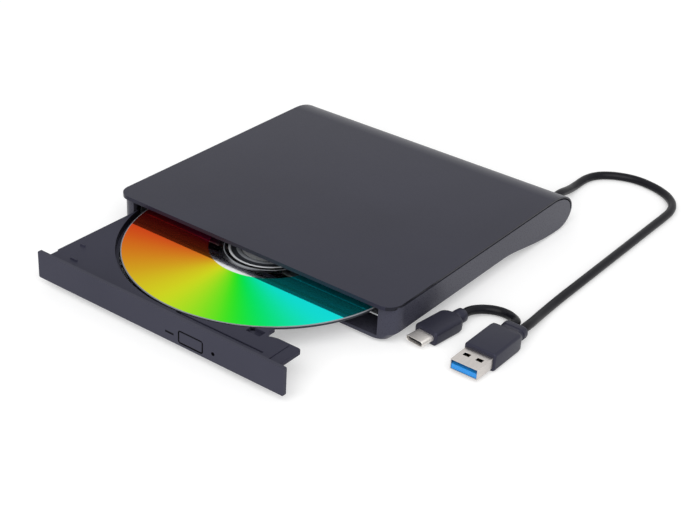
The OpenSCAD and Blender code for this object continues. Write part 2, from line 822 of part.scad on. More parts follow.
// The lever turns on its pivot beside the solenoid; its hook catches the post when the tray is shut
module latch_lever() {
    color("#1f1f22") translate([lever_x, lever_y, skirt_z + board_t]) {
        cylinder(r = lever_hub_r, h = lever_t);
        box([-lever_w / 2, 0, 0], [lever_w / 2, lever_l, lever_t]);
        box([-hook_l, lever_l - hook_w, 0], [lever_w / 2, lever_l, lever_t]);
    }
}

// Mechanism on the tray

module mechanism_deck() {
    color("#8f9296") difference() {
        intersection() {
            at_spindle() box([-deck_back, -deck_half, deck_z], [deck_front, deck_half, deck_z + deck_t]);
            translate([0, disc_y, 0]) cylinder(r = deck_trim, h = case_h);
        }
        at_spindle() {
            box([window_back, -window_half, 0], [window_front, window_half, case_h]);
            box([window_back - feed_l, screw_y - feed_r - 0.2, 0],
                [window_back, screw_y + feed_r + 0.2, case_h]);
            cylinder(r = bush_r, h = case_h);
        }
    }
}

module deck_dampers() {
    color("#26262a") at_spindle() for (x = [damper_in - deck_back, deck_front - damper_far])
        for (y = [damper_r - deck_half + 0.2, deck_half - damper_r - 0.2])
            translate([x, y, deck_z + deck_t]) cylinder(r = damper_r, h = floor_z - deck_z - deck_t);
}

module spindle_motor() {
    color("#77797d") at_spindle() difference() {
        union() {
            translate([0, 0, motor_z]) cylinder(r = motor_r, h = deck_z - motor_z);
            translate([0, 0, motor_z]) cylinder(r = bush_r, h = rotor_z - hub_lift - motor_z);
        }
        translate([0, 0, motor_z + shaft_foot - 0.1]) cylinder(r = spindle_r + shaft_gap, h = case_h);
    }
}

module turntable() {
    color("#2a2a2d") at_spindle() {
        translate([0, 0, motor_z + shaft_foot]) cylinder(r = spindle_r, h = rotor_z - motor_z - shaft_foot);
        translate([0, 0, rotor_z]) cylinder(r = rotor_r, h = disc_z - seat_t - rotor_z);
        translate([0, 0, disc_z - seat_t]) cylinder(r = turntable_r, h = seat_t);
        translate([0, 0, disc_z]) cylinder(r = hub_r, h = disc_t + hub_lift);
    }
}

module hub_claws() {
    z = disc_z + disc_t + hub_lift;
    color("#c9cbcd") translate([0, disc_y, z]) {
        difference() {
            cylinder(r = hub_r - claw_t, h = claw_t);
            translate([0, 0, -eps]) cylinder(r = claw_hole_r, h = 1);
        }
        for (i = [0:claw_count - 1]) rotate([0, 0, i * 360 / claw_count])
            box([hub_r - 2 * claw_t, -claw_w / 2, 0], [hub_r + claw_out, claw_w / 2, claw_t]);
    }
}

module disc() {
    color("#d9b93a") translate([0, disc_y, disc_z]) difference() {
        cylinder(r = disc_r, h = disc_t, $fn = 96);
        translate([0, 0, -1]) cylinder(r = disc_hole_r, h = disc_t + 2);
    }
}

module guide_rods() {
    color("#d5d7d9") at_spindle() for (y = [-rod_y, rod_y]) translate([window_back, y, rod_z])
        rotate([0, 90, 0]) cylinder(r = rod_r, h = window_front - window_back);
}

module sled_motor() {
    color("#6d6f73") at_spindle() translate([window_back - feed_l, screw_y, rod_z])
        rotate([0, 90, 0]) cylinder(r = feed_r, h = feed_l);
}

module lead_screw() {
    color("#cfd1d3") at_spindle() translate([window_back + 0.1, screw_y, rod_z])
        rotate([0, 90, 0]) cylinder(r = screw_r, h = window_front - window_back - 0.2);
}

module pickup_sled() {
    color("#55575b") at_spindle() difference() {
        union() {
            box([sled_rest - sled_back, -sled_half, sled_base], [sled_rest, sled_half, sled_top]);
            box([sled_rest - eps, -nose_half, sled_base], [sled_rest + nose_l, nose_half, sled_top]);
        }
        for (y = [-rod_y, rod_y]) translate([0, y, rod_z]) rotate([0, 90, 0])
            cylinder(r = rod_r + shaft_gap, h = deck_front);
        translate([sled_rest + lens_fore, 0, sled_base + lens_pit])
            cylinder(r = lens_r + lens_gap, h = case_h);
    }
}

module objective_lens() {
    color("#7f8fa8") at_spindle() translate([sled_rest + lens_fore, 0, sled_base + lens_pit + lens_gap * 2])
        cylinder(r = lens_r, h = sled_top - sled_base - lens_pit);
}

// Lead

module cord_relief() {
    color("#1d1d20") translate([outlet_x, rear_y - relief_in, outlet_z]) rotate([-90, 0, 0]) {
        cylinder(r = relief_r, h = relief_in);
        translate([0, 0, relief_in]) cylinder(r1 = relief_r, r2 = cord_d / 2 + 0.3, h = relief_l);
    }
}

function unit(v) = v / norm(v);
function tangent(p, i) = unit(p[min(i + 1, len(p) - 1)] - p[max(i - 1, 0)]);
function ring(p, i, r) = let (t = tangent(p, i), s = unit(cross(t, [0, 0, 1])), u = cross(s, t))
    [for (k = [0:cord_sides - 1]) let (w = 360 * (k + 0.5) / cord_sides)
        p[i] + r * (s * cos(w) + u * sin(w))];

// One round tube along a route, closed by a flat cap at each end
module tube(p, d) {
    n = cord_sides;
    points = [for (i = [0:len(p) - 1]) each ring(p, i, d / 2)];
    sides = [for (i = [0:len(p) - 2]) for (k = [0:n - 1]) let (a = i * n + k, b = i * n + (k + 1) % n)
        each [[a, a + n, b], [b, a + n, b + n]]];
    caps = [[for (k = [0:n - 1]) k], [for (k = [n - 1:-1:0]) (len(p) - 1) * n + k]];
    polyhedron(points, concat(sides, caps));
}

module usb_cord() {
    color("#242428") tube(lead_route, cord_d);
}

module pigtail_cord() {
    color("#242428") tube(tail_route, cord_d);
}

module at_a_plug() {
    translate([a_x, a_front, 0]) children();
}

module usb_a_body() {
    y0 = a_shell[1];
    color("#3b3b43") at_a_plug() {
        along_y(y0, y0 + a_body[1]) round_rect([-a_body[0] / 2, 0], [a_body[0] / 2, a_body[2]],
            a_body_round);
        along_y(y0 + a_body[1], y0 + a_body[1] + a_collar[1]) round_rect([-a_collar[0] / 2, a_collar_z],
            [a_collar[0] / 2, a_collar_z + a_collar[2]], a_collar_round);
    }
}

module usb_a_shell() {
    color("#b8b4b0") at_a_plug() difference() {
        box([-a_shell[0] / 2, 0, a_shell_z], [a_shell[0] / 2, a_shell[1], a_shell_z + a_shell[2]]);
        box([-a_shell[0] / 2 + a_shell_t, -1, a_shell_z + a_shell_t],
            [a_shell[0] / 2 - a_shell_t, a_shell[1] + 1, a_shell_z + a_shell[2] - a_shell_t]);
        for (x = [-a_window_x, a_window_x])
            box([x - a_window[0] / 2, a_window_y, a_shell_z + a_shell[2] - 1],
                [x + a_window[0] / 2, a_window_y + a_window[1], a_shell_z + a_shell[2] + 1]);
    }
}

module usb_a_tongue() {
    t = a_shell_t;
    color("#1e8fe0") at_a_plug() box([-a_shell[0] / 2 + t, a_tongue_in, a_shell_z + t],
        [a_shell[0] / 2 - t, a_shell[1], a_shell_z + t + a_tongue]);
}

module usb_a_contacts() {
    z = a_shell_z + a_shell_t + a_tongue;
    color("#c9a24a") at_a_plug() for (x = a_pins)
        translate([x - a_pin[0] / 2, a_pin_y, z]) cube(a_pin);
}

module at_c_plug() {
    translate([c_place[0], c_place[1], c_z]) rotate([0, 0, c_turn]) children();
}

module usb_c_body() {
    y0 = c_shell_l;
    color("#3b3b43") at_c_plug() {
        along_y(y0, y0 + c_body[1])
            round_rect([-c_body[0] / 2, -c_body[2] / 2], [c_body[0] / 2, c_body[2] / 2], c_body_round);
        translate([0, y0 + c_body[1], 0]) rotate([-90, 0, 0]) cylinder(r = c_neck_r, h = c_neck_l);
    }
}

module usb_c_shell() {
    w = c_shell_w / 2;
    h = c_shell_h / 2;
    t = c_shell_t;
    color("#b8b4b0") at_c_plug() along_y(0, c_shell_l) difference() {
        round_rect([-w, -h], [w, h], h - eps);
        round_rect([-w + t, -h + t], [w - t, h - t], h - t - eps);
    }
}

module usb_c_tongue() {
    color("#2a2a2e") at_c_plug() box([-c_tongue[0] / 2, 1, -c_tongue[1] / 2],
        [c_tongue[0] / 2, c_shell_l, c_tongue[1] / 2]);
}

top_cover();
bottom_case();
front_feet();
rear_feet();
case_screws();
chassis_screws();
drive_base_pan();
drive_top_plate();
left_rail_channel();
right_rail_channel();
main_board();
main_chips();
drive_connector();
bridge_board();
bridge_chips();
bridge_socket();
latch_post();
left_slide_rail();
right_slide_rail();
tray();
tray_guard();
front_bezel();
led_lens();
tray_board();
eject_switch();
latch_solenoid();
mechanism_deck();
deck_dampers();
spindle_motor();
guide_rods();
sled_motor();
eject_button();
turntable();
hub_claws();
disc();
lead_screw();
pickup_sled();
objective_lens();
latch_lever();
cord_relief();
usb_cord();
usb_a_body();
usb_a_shell();
usb_a_tongue();
usb_a_contacts();
pigtail_cord();
usb_c_body();
usb_c_shell();
usb_c_tongue();
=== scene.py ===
import bpy
import bmesh
import math
from mathutils import Matrix, Vector


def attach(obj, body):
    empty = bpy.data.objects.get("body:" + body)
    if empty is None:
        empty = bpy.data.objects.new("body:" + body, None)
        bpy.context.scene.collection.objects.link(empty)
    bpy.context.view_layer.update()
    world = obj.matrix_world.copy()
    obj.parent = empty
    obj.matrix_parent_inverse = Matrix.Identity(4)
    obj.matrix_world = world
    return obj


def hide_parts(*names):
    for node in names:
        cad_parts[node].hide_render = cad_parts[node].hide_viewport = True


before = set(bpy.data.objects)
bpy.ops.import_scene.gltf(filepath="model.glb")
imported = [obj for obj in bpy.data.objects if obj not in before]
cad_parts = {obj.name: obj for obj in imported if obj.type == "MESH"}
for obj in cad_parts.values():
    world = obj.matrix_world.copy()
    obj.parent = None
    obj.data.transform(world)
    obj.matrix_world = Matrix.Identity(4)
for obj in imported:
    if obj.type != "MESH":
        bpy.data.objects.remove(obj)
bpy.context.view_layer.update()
mm = 0.001
scene = bpy.context.scene
scene.view_settings.view_transform = "Standard"


# Studio: a white paper sweep in a white tent, with one wide soft box in front. A matt white card reads
# about 1 there, and the paper keeps the drive's soft shadow.
def srgb(code):
    parts = [int(code[i:i + 2], 16) / 255 for i in (1, 3, 5)]
    return [p / 12.92 if p <= 0.04045 else ((p + 0.055) / 1.055) ** 2.4 for p in parts] + [1.0]


def add(tree, kind, links=None, **settings):
    node = tree.nodes.new(kind)
    for name, value in settings.items():
        setattr(node, name, value)
    for name, value in (links or {}).items():
        if isinstance(value, bpy.types.NodeSocket):
            tree.links.new(value, node.inputs[name])
        else:
            node.inputs[name].default_value = value
    return node


def seen_directly(tree):
    path = add(tree, "ShaderNodeLightPath")
    either = add(tree, "ShaderNodeMath", {0: path.outputs["Is Camera Ray"],
                                          1: path.outputs["Is Glossy Ray"]}, operation="MAXIMUM")
    return add(tree, "ShaderNodeMath", {0: either.outputs[0],
                                        1: path.outputs["Is Transmission Ray"]},
               operation="MAXIMUM").outputs[0]


tent = bpy.data.worlds.new("white_tent")
tent.use_nodes = True
scene.world = tent
tent_glow, tent_white = 0.52, 1.0
tent_level = add(tent.node_tree, "ShaderNodeMapRange",
                 {"Value": seen_directly(tent.node_tree), "To Min": tent_glow, "To Max": tent_white})
tent_light = tent.node_tree.nodes["Background"]
tent_light.inputs["Color"].default_value = (1, 1, 1, 1)
tent.node_tree.links.new(tent_level.outputs[0], tent_light.inputs["Strength"])

paper_half, paper_top = 3, -0.0002
paper_sheet = bpy.data.meshes.new("paper_sweep")
paper_sheet.from_pydata([(x * paper_half, y * paper_half, paper_top)
                         for x, y in ((-1, -1), (1, -1), (1, 1), (-1, 1))], [], [(0, 1, 2, 3)])
paper_sweep = bpy.data.objects.new("paper_sweep", paper_sheet)
scene.collection.objects.link(paper_sweep)

# Matt paper: even and without gloss. What the eye sees of it whitens with distance, past the shadow
paper = bpy.data.materials.new("matt_white_paper")
paper.use_nodes = True
paper_shader = paper.node_tree.nodes["Principled BSDF"]
paper_shader.inputs["Base Color"].default_value = srgb("#e4e4e4")
paper_shader.inputs["Roughness"].default_value = 0.9
paper_shader.inputs["Specular IOR Level"].default_value = 0.0
paper_shader.inputs["Emission Color"].default_value = (1, 1, 1, 1)
paper_place = add(paper.node_tree, "ShaderNodeTexCoord").outputs["Object"]
paper_away = add(paper.node_tree, "ShaderNodeVectorMath", {0: paper_place}, operation="LENGTH")
paper_rise = add(paper.node_tree, "ShaderNodeMapRange", {"Value": paper_away.outputs["Value"],
                                                         "From Min": 0.5, "From Max": 1.8,
                                                         "To Min": 0.3, "To Max": 0.8})
paper_glow = add(paper.node_tree, "ShaderNodeMapRange", {"Value": seen_directly(paper.node_tree),
                                                         "To Max": paper_rise.outputs[0]})
paper.node_tree.links.new(paper_glow.outputs[0], paper_shader.inputs["Emission Strength"])
paper_sheet.materials.append(paper)

soft_box_side, soft_box_watts = 4.2, 142
soft_box_place = Vector((1.35, -2.4, 2.05))
soft_box = bpy.data.lights.new("soft_box", "AREA")
soft_box.shape = "SQUARE"
soft_box.size = soft_box_side
soft_box.energy = soft_box_watts
soft_box_stand = bpy.data.objects.new("soft_box", soft_box)
soft_box_stand.location = soft_box_place
soft_box_stand.rotation_euler = (-soft_box_place).to_track_quat("-Z", "Y").to_euler()
scene.collection.objects.link(soft_box_stand)

camera_place, camera_turn = (0.32343, -0.42887, 0.30251), (60.086, -2.962, 36.921)
camera_lens, camera_sensor = 74.84, 36
view = bpy.data.cameras.new("camera")
view.sensor_width = camera_sensor
view.lens = camera_lens
view.clip_start = 0.01
camera = bpy.data.objects.new("camera", view)
camera.location = camera_place
camera.rotation_euler = [math.radians(angle) for angle in camera_turn]
scene.collection.objects.link(camera)
scene.camera = camera


# USB lead and its short tail: round cords with a soft black PVC jacket, drawn over screened cores. The
# lead is moulded into the strain relief and the A plug, and the tail joins the A plug to the C plug.
def finish(name):
    material = bpy.data.materials.new(name)
    material.use_nodes = True
    tree = material.node_tree
    place = add(tree, "ShaderNodeTexCoord").outputs["Object"]
    return material, tree, tree.nodes["Principled BSDF"], place


def soft_pvc(name, dark, light):
    # Extruded PVC: a satin skin with faint long waves from drawing, drawn coarser than the real ones
    material, tree, shader, place = finish(name)
    waves = add(tree, "ShaderNodeTexNoise", {"Vector": place, "Scale": 1 / (3.5 * mm), "Detail": 3})
    tint = add(tree, "ShaderNodeValToRGB", {"Fac": waves.outputs["Fac"]})
    tint.color_ramp.elements[0].position = 0.35
    tint.color_ramp.elements[0].color = srgb(dark)
    tint.color_ramp.elements[1].position = 0.7
    tint.color_ramp.elements[1].color = srgb(light)
    satin = add(tree, "ShaderNodeMapRange", {"Value": waves.outputs["Fac"], "To Min": 0.28, "To Max": 0.4})
    skin = add(tree, "ShaderNodeBump", {"Height": waves.outputs["Fac"], "Strength": 0.25,
                                        "Distance": 0.1 * mm})
    tree.links.new(tint.outputs["Color"], shader.inputs["Base Color"])
    tree.links.new(satin.outputs[0], shader.inputs["Roughness"])
    tree.links.new(skin.outputs["Normal"], shader.inputs["Normal"])
    shader.inputs["IOR"].default_value = 1.53
    shader.inputs["Specular IOR Level"].default_value = 0.12
    return material


cord_jacket = soft_pvc("soft_pvc_jacket", "#0f0f14", "#15151b")
cord_diameter = 3.8


def drawn_cord(name, points):
    line = bpy.data.curves.new(name, "CURVE")
    line.dimensions = "3D"
    line.bevel_depth = cord_diameter / 2 * mm
    line.bevel_resolution = 6
    line.resolution_u = 6
    line.use_fill_caps = True
    spline = line.splines.new("BEZIER")
    spline.bezier_points.add(len(points) - 1)
    for bend, point in zip(spline.bezier_points, points):
        bend.co = Vector(point) * mm
        bend.handle_left_type = bend.handle_right_type = "AUTO"
    line.materials.append(cord_jacket)
    cord = bpy.data.objects.new(name, line)
    scene.collection.objects.link(cord)
    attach(cord, "case")
    return cord


outlet_x, outlet_y, outlet_z = 58, 104.35, 5
lying_z = 1.95
lead_bend = [(56.8, 127.5), (56.8, 132.5), (57.2, 137), (59, 142), (63, 146.6), (69, 150), (76, 151.6),
             (83.5, 150.8), (90, 148.6), (95.8, 144.8), (100, 139.4), (102, 133)]
straight_x, straight_y, straight_l, straight_steps = 102.4, 126.5, 92.5, 9
lead_straight = [(straight_x, straight_y - straight_l * i / straight_steps)
                 for i in range(straight_steps + 1)]
lead_points = [
    (outlet_x, outlet_y, outlet_z), (outlet_x, 107.85, outlet_z), (57.9, 112, 4.5), (57.6, 117, 3.4),
    (57.1, 122, 2.4), *[(x, y, lying_z) for x, y in lead_bend + lead_straight], (102.6, 24, 2),
    (103.3, 14, 2.6), (104.2, 6, 3.5), (104.4, 2, 3.8), (104.4, -1.5, 3.8)]
lead = drawn_cord("lead", lead_points)
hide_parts("usb_cord")
tail_points = [
    (99.8, -1.5, 3.8), (99.8, 2, 3.8), (98.5, 4, 3.2), (95.8, 6.2, 2.5), (92.3, 7.4, 2.2), (88.5, 6.9, 2.2),
    (85, 4.8, 2.4), (82.4, 1.6, 2.8), (80.761, -2.142, 3.1), (80.334, -5.616, 3.1)]
tail = drawn_cord("tail", tail_points)
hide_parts("pigtail_cord")


# Case bottom: one ABS moulding with side walls, a chamfered underside and a low bulge at the rear. Four
# screws go up through it into the cover's bosses.
def dressed(node, name, edge, segments=3, share=None, painted_shade=None):
    # The node's own form with its edges rounded off, each by its share of the radius; faces that the last
    # argument picks take the second material, a near-black that paints shade on them
    weld, flat, crease = 0.002 * mm, math.radians(0.4), math.radians(28)
    piece = bpy.data.objects.new(name, bpy.data.meshes.new(name))
    form = bmesh.new()
    form.from_mesh(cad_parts[node].data)
    bmesh.ops.remove_doubles(form, verts=form.verts, dist=weld)
    bmesh.ops.dissolve_limit(form, angle_limit=flat, verts=form.verts, edges=form.edges)
    for face in form.faces:
        face.smooth = True
        face.material_index = 1 if painted_shade and painted_shade(face.normal, face.calc_center_median() / mm) else 0
    radius = form.edges.layers.float.new("bevel_weight_edge")
    for side in form.edges:
        side.smooth = side.is_manifold and side.calc_face_angle(0) < crease
        middle = (side.verts[0].co + side.verts[1].co) / 2 / mm
        side[radius] = 0.0 if side.smooth else (share(middle) if share else 1.0)
    form.to_mesh(piece.data)
    form.free()
    scene.collection.objects.link(piece)
    rounding = piece.modifiers.new("rounded_edges", "BEVEL")
    rounding.width = edge * mm
    rounding.segments = segments
    rounding.limit_method = "WEIGHT"
    rounding.use_clamp_overlap = True
    even = piece.modifiers.new("even_shading", "WEIGHTED_NORMAL")
    even.keep_sharp = False
    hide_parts(node)
    return piece


def moulded_abs(name, dark, light, grain, rough, gloss=0.12):
    # Injection-moulded ABS: a fine spark-eroded grain that breaks up the gloss, and a faint cloudiness
    material, tree, shader, place = finish(name)
    cloud = add(tree, "ShaderNodeTexNoise", {"Vector": place, "Scale": 1 / (45 * mm), "Detail": 2})
    pits = add(tree, "ShaderNodeTexNoise", {"Vector": place, "Scale": 1 / (grain * mm), "Detail": 2})
    tint = add(tree, "ShaderNodeValToRGB", {"Fac": cloud.outputs["Fac"]})
    tint.color_ramp.elements[0].position = 0.3
    tint.color_ramp.elements[0].color = srgb(dark)
    tint.color_ramp.elements[1].position = 0.7
    tint.color_ramp.elements[1].color = srgb(light)
    haze = add(tree, "ShaderNodeMapRange", {"Value": pits.outputs["Fac"], "From Min": 0.3, "From Max": 0.7,
                                            "To Min": rough - 0.05, "To Max": rough + 0.05})
    skin = add(tree, "ShaderNodeBump", {"Height": pits.outputs["Fac"], "Strength": 0.12,
                                        "Distance": 0.05 * mm})
    tree.links.new(tint.outputs["Color"], shader.inputs["Base Color"])
    tree.links.new(haze.outputs[0], shader.inputs["Roughness"])
    tree.links.new(skin.outputs["Normal"], shader.inputs["Normal"])
    shader.inputs["IOR"].default_value = 1.5
    shader.inputs["Specular IOR Level"].default_value = gloss
    shader.inputs["Specular Tint"].default_value = srgb("#d2d5f6")
    return material


# Painted light and shade: the case, bezel, tray and cover are one dark ABS, drawn in four tones set to how
# the soft box falls; the upright case walls and bezel get lighter tones, the tray and cover, which face up,
# darker
case_abs = moulded_abs("moulded_abs_case", "#34343d", "#383842", grain=0.4, rough=0.3, gloss=0.3)
case_bottom = dressed("bottom_case", "case_bottom", edge=0.25)
case_bottom.data.materials.append(case_abs)
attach(case_bottom, "case")


# Feet: four dark rubber pads, die-cut from sheet and glued into shallow seats in the underside. They
# lift the case just off the table and keep it from sliding.
def cut_rubber(name, colour):
    # Filled rubber: dull and crumbly all over, with a grain that swallows the gloss
    material, tree, shader, place = finish(name)
    crumb = add(tree, "ShaderNodeTexNoise", {"Vector": place, "Scale": 1 / (0.5 * mm), "Detail": 4})
    tint = add(tree, "ShaderNodeValToRGB", {"Fac": crumb.outputs["Fac"]})
    tint.color_ramp.elements[0].color = srgb("#0e0e10")
    tint.color_ramp.elements[1].color = srgb(colour)
    skin = add(tree, "ShaderNodeBump", {"Height": crumb.outputs["Fac"], "Strength": 0.5,
                                        "Distance": 0.1 * mm})
    tree.links.new(tint.outputs["Color"], shader.inputs["Base Color"])
    tree.links.new(skin.outputs["Normal"], shader.inputs["Normal"])
    shader.inputs["Roughness"].default_value = 0.85
    return material


pad_rubber = cut_rubber("die_cut_rubber", "#2c2c2f")
for node in ("front_feet", "rear_feet"):
    pads = dressed(node, node + "_pads", edge=0.4)
    pads.data.materials.append(pad_rubber)
    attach(pads, "case")


# Screws: self-tapping screws of blackened steel with cross recesses. Four sunk in the underside hold the
# case together, and three shorter ones hold the drive in it.
def steel(name, dark, light, rough, brushed=0.08):
    # Rolled or turned steel: a bright metal with streaks along one direction, drawn coarse enough to show
    material, tree, shader, place = finish(name)
    stretch = add(tree, "ShaderNodeMapping", {"Vector": place, "Scale": (1, 0.08, 1)})
    streaks = add(tree, "ShaderNodeTexNoise", {"Vector": stretch.outputs[0], "Scale": 1 / (0.35 * mm),
                                               "Detail": 3})
    tint = add(tree, "ShaderNodeValToRGB", {"Fac": streaks.outputs["Fac"]})
    tint.color_ramp.elements[0].position = 0.3
    tint.color_ramp.elements[0].color = srgb(dark)
    tint.color_ramp.elements[1].position = 0.7
    tint.color_ramp.elements[1].color = srgb(light)
    brush = add(tree, "ShaderNodeMapRange", {"Value": streaks.outputs["Fac"], "To Min": rough - brushed,
                                             "To Max": rough + brushed})
    tree.links.new(tint.outputs["Color"], shader.inputs["Base Color"])
    tree.links.new(brush.outputs[0], shader.inputs["Roughness"])
    shader.inputs["Metallic"].default_value = 1.0
    return material


screw_steel = steel("blackened_steel", "#3c3d40", "#5a5b5f", rough=0.4)


def screw_set(name, node, head_r, head_h, shank_r, length, places):
    # A tree that puts one cross-recess screw on each place
    tree = bpy.data.node_groups.new(name + "_tree", "GeometryNodeTree")
    tree.interface.new_socket("Geometry", in_out="INPUT", socket_type="NodeSocketGeometry")
    sizes = {}
    for label in ("Head Radius", "Head Height", "Shank Radius", "Length"):
        sizes[label] = tree.interface.new_socket(label, in_out="INPUT", socket_type="NodeSocketFloat")
    tree.interface.new_socket("Geometry", in_out="OUTPUT", socket_type="NodeSocketGeometry")
    given = add(tree, "NodeGroupInput")
    half = add(tree, "ShaderNodeMath", {0: given.outputs["Head Height"], 1: 0.5}, operation="MULTIPLY")
    up_half = add(tree, "ShaderNodeCombineXYZ", {"Z": half.outputs[0]})
    head = add(tree, "GeometryNodeMeshCylinder", {"Vertices": 40, "Radius": given.outputs["Head Radius"],
                                                  "Depth": given.outputs["Head Height"]})
    head_up = add(tree, "GeometryNodeTransform", {"Geometry": head.outputs["Mesh"],
                                                  "Translation": up_half.outputs[0]})
    arm = add(tree, "ShaderNodeMath", {0: given.outputs["Head Radius"], 1: 1.25}, operation="MULTIPLY")
    thin = add(tree, "ShaderNodeMath", {0: given.outputs["Head Radius"], 1: 0.3}, operation="MULTIPLY")
    arm_x = add(tree, "ShaderNodeCombineXYZ", {"X": arm.outputs[0], "Y": thin.outputs[0],
                                               "Z": given.outputs["Head Height"]})
    arm_y = add(tree, "ShaderNodeCombineXYZ", {"X": thin.outputs[0], "Y": arm.outputs[0],
                                               "Z": given.outputs["Head Height"]})
    slot_x = add(tree, "GeometryNodeMeshCube", {"Size": arm_x.outputs[0]})
    slot_y = add(tree, "GeometryNodeMeshCube", {"Size": arm_y.outputs[0]})
    crossed = add(tree, "GeometryNodeMeshBoolean", {"Mesh 1": head_up.outputs[0]}, operation="DIFFERENCE")
    tree.links.new(slot_x.outputs["Mesh"], crossed.inputs["Mesh 2"])
    tree.links.new(slot_y.outputs["Mesh"], crossed.inputs["Mesh 2"])
    shank = add(tree, "GeometryNodeMeshCylinder", {"Vertices": 24, "Radius": given.outputs["Shank Radius"],
                                                   "Depth": given.outputs["Length"]})
    mid = add(tree, "ShaderNodeMath", {0: given.outputs["Length"], 1: 0.5}, operation="MULTIPLY")
    lift = add(tree, "ShaderNodeMath", {0: mid.outputs[0], 1: given.outputs["Head Height"]}, operation="ADD")
    up_mid = add(tree, "ShaderNodeCombineXYZ", {"Z": lift.outputs[0]})
    shank_up = add(tree, "GeometryNodeTransform", {"Geometry": shank.outputs["Mesh"],
                                                   "Translation": up_mid.outputs[0]})
    screw = add(tree, "GeometryNodeJoinGeometry")
    tree.links.new(crossed.outputs["Mesh"], screw.inputs[0])
    tree.links.new(shank_up.outputs[0], screw.inputs[0])
    set_out = add(tree, "GeometryNodeInstanceOnPoints", {"Points": given.outputs["Geometry"],
                                                         "Instance": screw.outputs[0]})
    real = add(tree, "GeometryNodeRealizeInstances", {"Geometry": set_out.outputs[0]})
    coated = add(tree, "GeometryNodeSetMaterial", {"Geometry": real.outputs[0], "Material": screw_steel})
    add(tree, "NodeGroupOutput", {"Geometry": coated.outputs[0]})
    dots = bpy.data.meshes.new(name + "_places")
    dots.from_pydata([Vector(p) * mm for p in places], [], [])
    maker = bpy.data.objects.new(name + "_maker", dots)
    scene.collection.objects.link(maker)
    setter = maker.modifiers.new("screws", "NODES")
    setter.node_group = tree
    for label, size in zip(sizes, (head_r, head_h, shank_r, length)):
        setter[sizes[label].identifier] = size * mm
    bpy.context.view_layer.update()
    made = bpy.data.meshes.new_from_object(maker.evaluated_get(bpy.context.evaluated_depsgraph_get()))
    made.name = name
    bpy.data.objects.remove(maker)
    screws = bpy.data.objects.new(name, made)
    scene.collection.objects.link(screws)
    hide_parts(node)
    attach(screws, "case")


boss_x, boss_y, boss_z = (-66.6, 66.6), (-30.05, 65.95), 3.3
screw_set("cover_screws", "case_screws", head_r=1.9, head_h=1.2, shank_r=0.95, length=7.4,
          places=[(x, y, boss_z) for x in boss_x for y in boss_y])
pan_z = 1.6
screw_set("drive_screws", "chassis_screws", head_r=1.9, head_h=0.7, shank_r=0.95, length=1.3,
          places=[(x, y, pan_z) for x, y in ((-50, -20.05), (30, -20.05), (-50, 74.95))])


# Drive housing: a pan and a lid pressed from bright galvanised steel, with black acetal rail guides. It
# shows only as silver edges in the front opening.
pressed_steel = steel("galvanised_sheet_steel", "#a5a7aa", "#c6c8ca", rough=0.34)
rail_steel = steel("drawn_rail_steel", "#96999c", "#b4b6b9", rough=0.3)
slick_acetal = moulded_abs("moulded_acetal", "#1d1d20", "#232327", grain=0.6, rough=0.36)


def painted(material, *nodes):
    for node in nodes:
        for face_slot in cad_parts[node].material_slots:
            face_slot.material = material


painted(pressed_steel, "drive_base_pan", "tray_guard")
painted(rail_steel, "left_slide_rail", "right_slide_rail", "latch_post")
painted(slick_acetal, "left_rail_channel", "right_rail_channel", "latch_lever")
drive_lid = dressed("drive_top_plate", "drive_lid", edge=0.2)
drive_lid.data.materials.append(pressed_steel)
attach(drive_lid, "case")


# Circuit boards: glass-epoxy boards under green solder mask, with moulded chips and sockets soldered on.
# One lies in the rear of the drive, one joins it to the lead, and a small one sits behind the bezel.
def solder_mask(name):
    # Solder mask over etched copper: thin lighter tracks on a grid of about 1.2 mm
    material, tree, shader, place = finish(name)
    tracks = add(tree, "ShaderNodeTexBrick", {"Vector": place, "Scale": 1.0, "Color1": srgb("#16502f"),
                                              "Color2": srgb("#1b5c37"), "Mortar": srgb("#2f7d50"),
                                              "Mortar Size": 0.12 * mm, "Brick Width": 5 * mm,
                                              "Row Height": 1.2 * mm})
    relief = add(tree, "ShaderNodeBump", {"Height": tracks.outputs["Fac"], "Strength": 0.3,
                                          "Distance": 0.03 * mm})
    tree.links.new(tracks.outputs["Color"], shader.inputs["Base Color"])
    tree.links.new(relief.outputs["Normal"], shader.inputs["Normal"])
    shader.inputs["Roughness"].default_value = 0.32
    return material


chip_epoxy = moulded_abs("moulded_epoxy", "#19191c", "#222226", grain=0.3, rough=0.55)
socket_nylon = moulded_abs("moulded_nylon", "#141417", "#1a1a1d", grain=0.5, rough=0.45)
switch_nylon = moulded_abs("pale_moulded_nylon", "#cfcfca", "#dadad5", grain=0.5, rough=0.45)
painted(solder_mask("green_solder_mask"), "main_board", "bridge_board", "tray_board")
painted(chip_epoxy, "main_chips", "bridge_chips")
painted(socket_nylon, "drive_connector", "bridge_socket")
painted(switch_nylon, "eject_switch")


# Cover: a flat ABS panel that wraps the rear curve, with a short visor over the opening. It sits on the
# case's side walls with a fine shadow gap and is held by four hidden bosses.
# Painted shade: the cover's darker tone offsets the light that falls on its top
cover_abs = moulded_abs("moulded_abs_cover", "#22222d", "#262632", grain=0.35, rough=0.34, gloss=0.19)
# Painted shade: a near-black ABS for faces where shade falls: the panel's edge and underside, the wall round
# the disc seat and the walls of the bezel's openings
shade_black_abs = moulded_abs("painted_shade_black_abs", "#0c0c0f", "#121216", grain=0.4, rough=0.22, gloss=0.3)
cover_sides_z, cover_under_z = 8, 16


def cover_painted_shade(normal, middle):
    # Painted shade: the panel's side edges and its underside take the near-black, for the dark line of
    # shadow at the seam and the shade under the visor; the front of the visor and the rear keep the finish
    edge = abs(normal.z) < 0.5 and -0.9 < normal.y < 0.3 and middle.z > cover_sides_z
    return edge or normal.z < -0.5 and middle.z > cover_under_z


